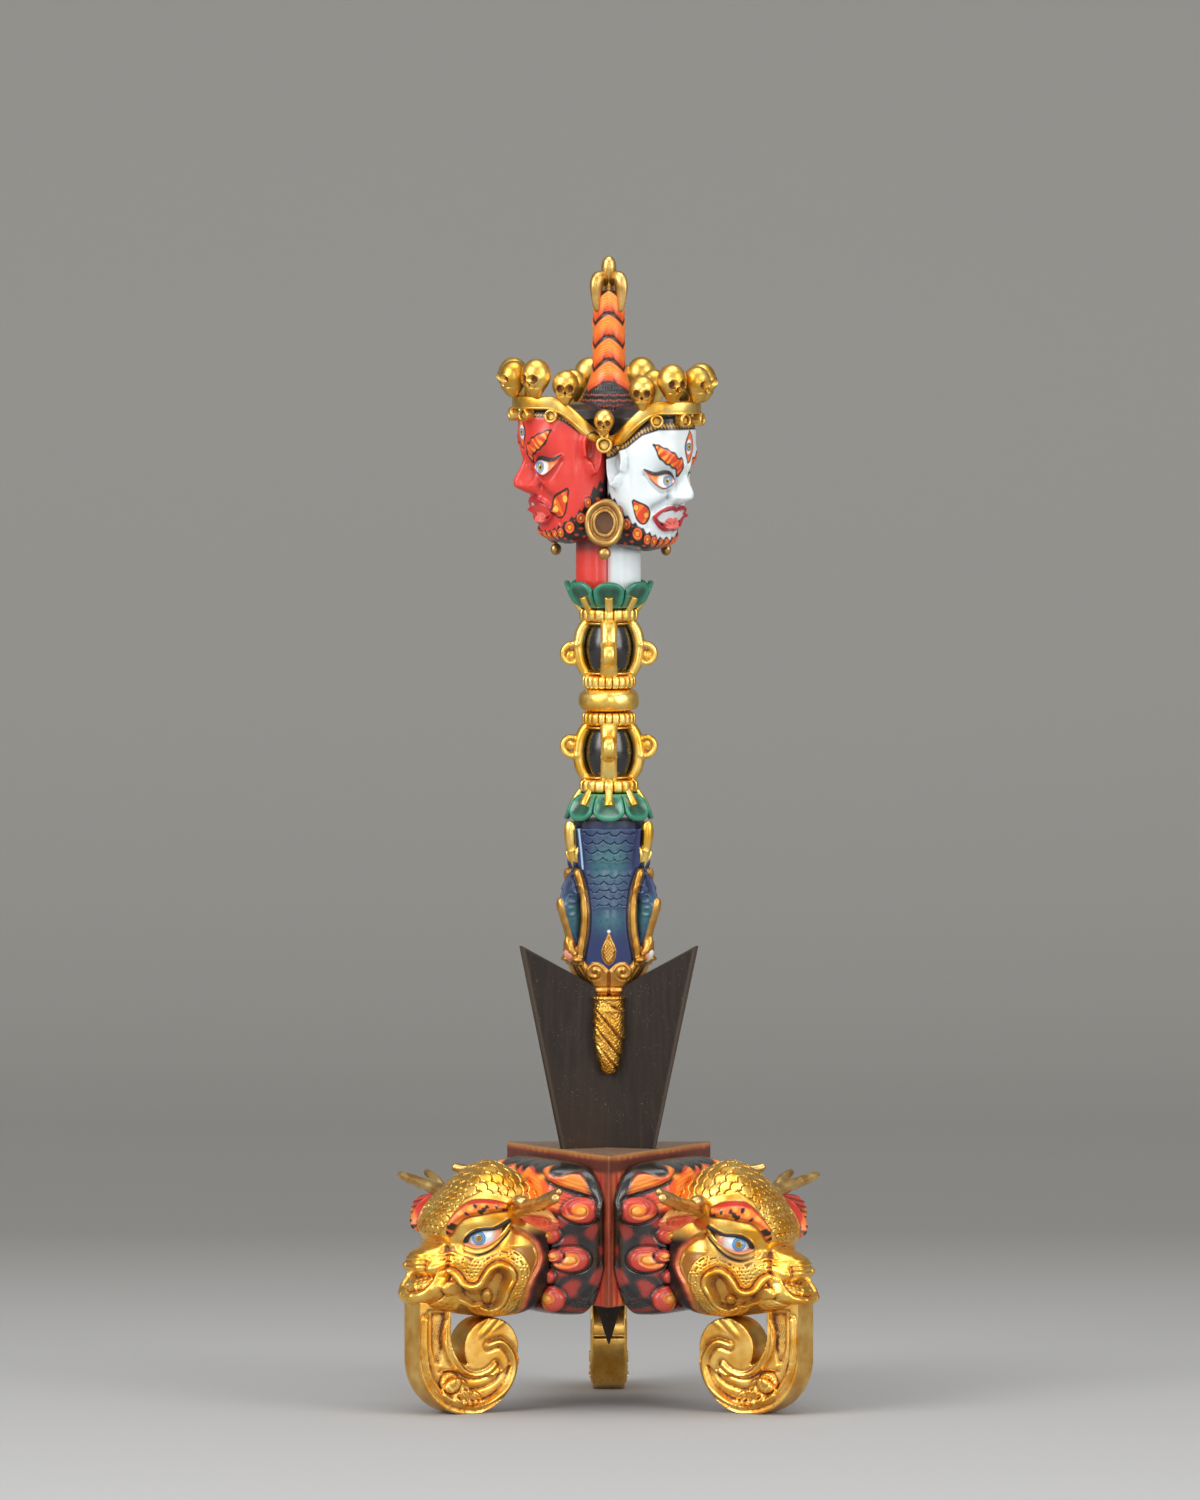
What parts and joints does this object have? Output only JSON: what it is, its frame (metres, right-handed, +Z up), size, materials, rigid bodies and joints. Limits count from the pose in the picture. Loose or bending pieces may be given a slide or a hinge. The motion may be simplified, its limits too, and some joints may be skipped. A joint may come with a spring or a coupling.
{
  "type": "phurba",
  "caption": "Three-edged ritual dagger with wrathful faces, crowns and caged grip, standing point down in a tripod stand of horned heads whose trunks curl into feet.",
  "frame": {"origin": "on the table, at the middle of the three feet, below the axis of the dagger", "axes": "+Z up along the dagger; -Y towards the block corner between the left and right stand heads; +X towards the white face"},
  "size_m": [0.1108, 0.1158, 0.3],
  "materials": {
    "block_paint": "red-brown paint, rubbed to gold at the edges",
    "mane_paint": "black paint with red and orange locks, satin",
    "stand_gilt": "gilded carving, worn",
    "eye_paint": "gloss paint",
    "horn_paint": "pale gold paint",
    "ear_paint": "pink and red paint, satin",
    "blade_wood": "dark brown oiled wood",
    "trunk_gilt": "matt gilding over stippled carving",
    "makara_paint": "dark blue paint with green lights, gloss",
    "pearl_paint": "pink and white gloss paint",
    "lotus_paint": "dark green paint, gloss",
    "core_lacquer": "black lacquer",
    "grip_gilt": "bright gilding, brown in the recesses",
    "rod_iron": "plain drawn iron",
    "red_face_paint": "red gloss paint with coloured details",
    "white_face_paint": "white gloss paint with coloured details",
    "blue_face_paint": "blue gloss paint with coloured details",
    "crown_gilt": "bright gilding, brown in the recesses",
    "earring_gilt": "dull gilding",
    "hair_paint": "orange locks on black paint, gloss"
  },
  "bodies": {
    "stand": {"stand_block": "block_paint", "mane_left": "mane_paint", "mane_right": "mane_paint", "mane_back": "mane_paint", "stand_head_left": "stand_gilt", "stand_head_right": "stand_gilt", "stand_head_back": "stand_gilt", "stand_eyes_left": "eye_paint", "stand_eyes_right": "eye_paint", "stand_eyes_back": "eye_paint", "stand_horns_left": "horn_paint", "stand_horns_right": "horn_paint", "stand_horns_back": "horn_paint", "stand_ears_left": "ear_paint", "stand_ears_right": "ear_paint", "stand_ears_back": "ear_paint", "trunk_foot_left": "stand_gilt", "trunk_foot_right": "stand_gilt", "trunk_foot_back": "stand_gilt"},
    "phurba": {"blade": "blade_wood", "blade_trunk_front": "trunk_gilt", "blade_trunk_right": "trunk_gilt", "blade_trunk_left": "trunk_gilt", "makara_core": "makara_paint", "makara_front": "makara_paint", "makara_right": "makara_paint", "makara_left": "makara_paint", "makara_horns": "trunk_gilt", "makara_eyes": "pearl_paint", "lotus_lower": "lotus_paint", "beads_lower": "grip_gilt", "cage_core_lower": "core_lacquer", "cage_prongs_lower": "grip_gilt", "beads_under_grip": "grip_gilt", "grip_knob": "grip_gilt", "beads_over_grip": "grip_gilt", "cage_core_upper": "core_lacquer", "cage_prongs_upper": "grip_gilt", "beads_upper": "grip_gilt", "lotus_upper": "lotus_paint", "rod": "rod_iron", "head_red": "red_face_paint", "head_white": "white_face_paint", "head_blue": "blue_face_paint", "crown_red": "crown_gilt", "crown_white": "crown_gilt", "crown_blue": "crown_gilt", "seam_jewels": "crown_gilt", "earrings": "earring_gilt", "topknot": "hair_paint", "finial": "earring_gilt"}
  },
  "joints": [
    {"name": "phurba_lift", "type": "slide", "parent": "stand", "child": "phurba", "axis": [0, 0, 1], "range_m": [0, 0.06]}
  ]
}
